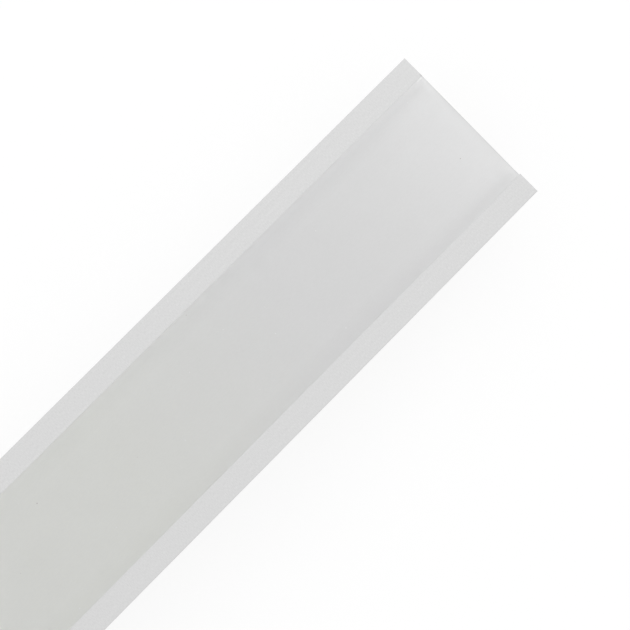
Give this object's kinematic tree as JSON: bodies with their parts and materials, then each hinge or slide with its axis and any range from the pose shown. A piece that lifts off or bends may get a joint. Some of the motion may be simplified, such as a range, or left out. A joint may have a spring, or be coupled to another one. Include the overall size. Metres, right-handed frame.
{
  "type": "recessed led strip profile",
  "caption": "Flanged aluminium channel for recessed mounting, with an opal snap-in cover over LED strips on an inner web and a slotted back.",
  "frame": {"origin": "middle of the length and of the width, in the plane of the back that the profile lies on", "axes": "+X along the profile to the end seen in the picture, +Y across it, +Z from the back to the light face"},
  "size_m": [1, 0.065, 0.035],
  "materials": {
    "anodised_aluminium": "satin natural anodised",
    "opal_cover": "matt opal, translucent",
    "adhesive_tape": "grey acrylic tape",
    "flexible_board": "white solder mask",
    "led_package": "white moulded",
    "led_phosphor": "silicone with phosphor",
    "resistor": "black glaze",
    "solder_pad": "tinned copper"
  },
  "bodies": {
    "channel": {"channel": "anodised_aluminium", "adhesive_tape_left": "adhesive_tape", "adhesive_tape_right": "adhesive_tape", "led_board_left": "flexible_board", "led_board_right": "flexible_board", "led_bodies_left": "led_package", "led_bodies_right": "led_package", "led_windows_left": "led_phosphor", "led_windows_right": "led_phosphor", "led_terminals_left": "solder_pad", "led_terminals_right": "solder_pad", "resistors_left": "resistor", "resistors_right": "resistor", "resistor_terminals_left": "solder_pad", "resistor_terminals_right": "solder_pad", "solder_pads_left": "solder_pad", "solder_pads_right": "solder_pad"},
    "cover": {"cover": "opal_cover"}
  },
  "joints": [
    {"name": "cover_slide", "type": "slide", "parent": "channel", "child": "cover", "axis": [1, 0, 0], "range_m": [-1, 1]}
  ]
}
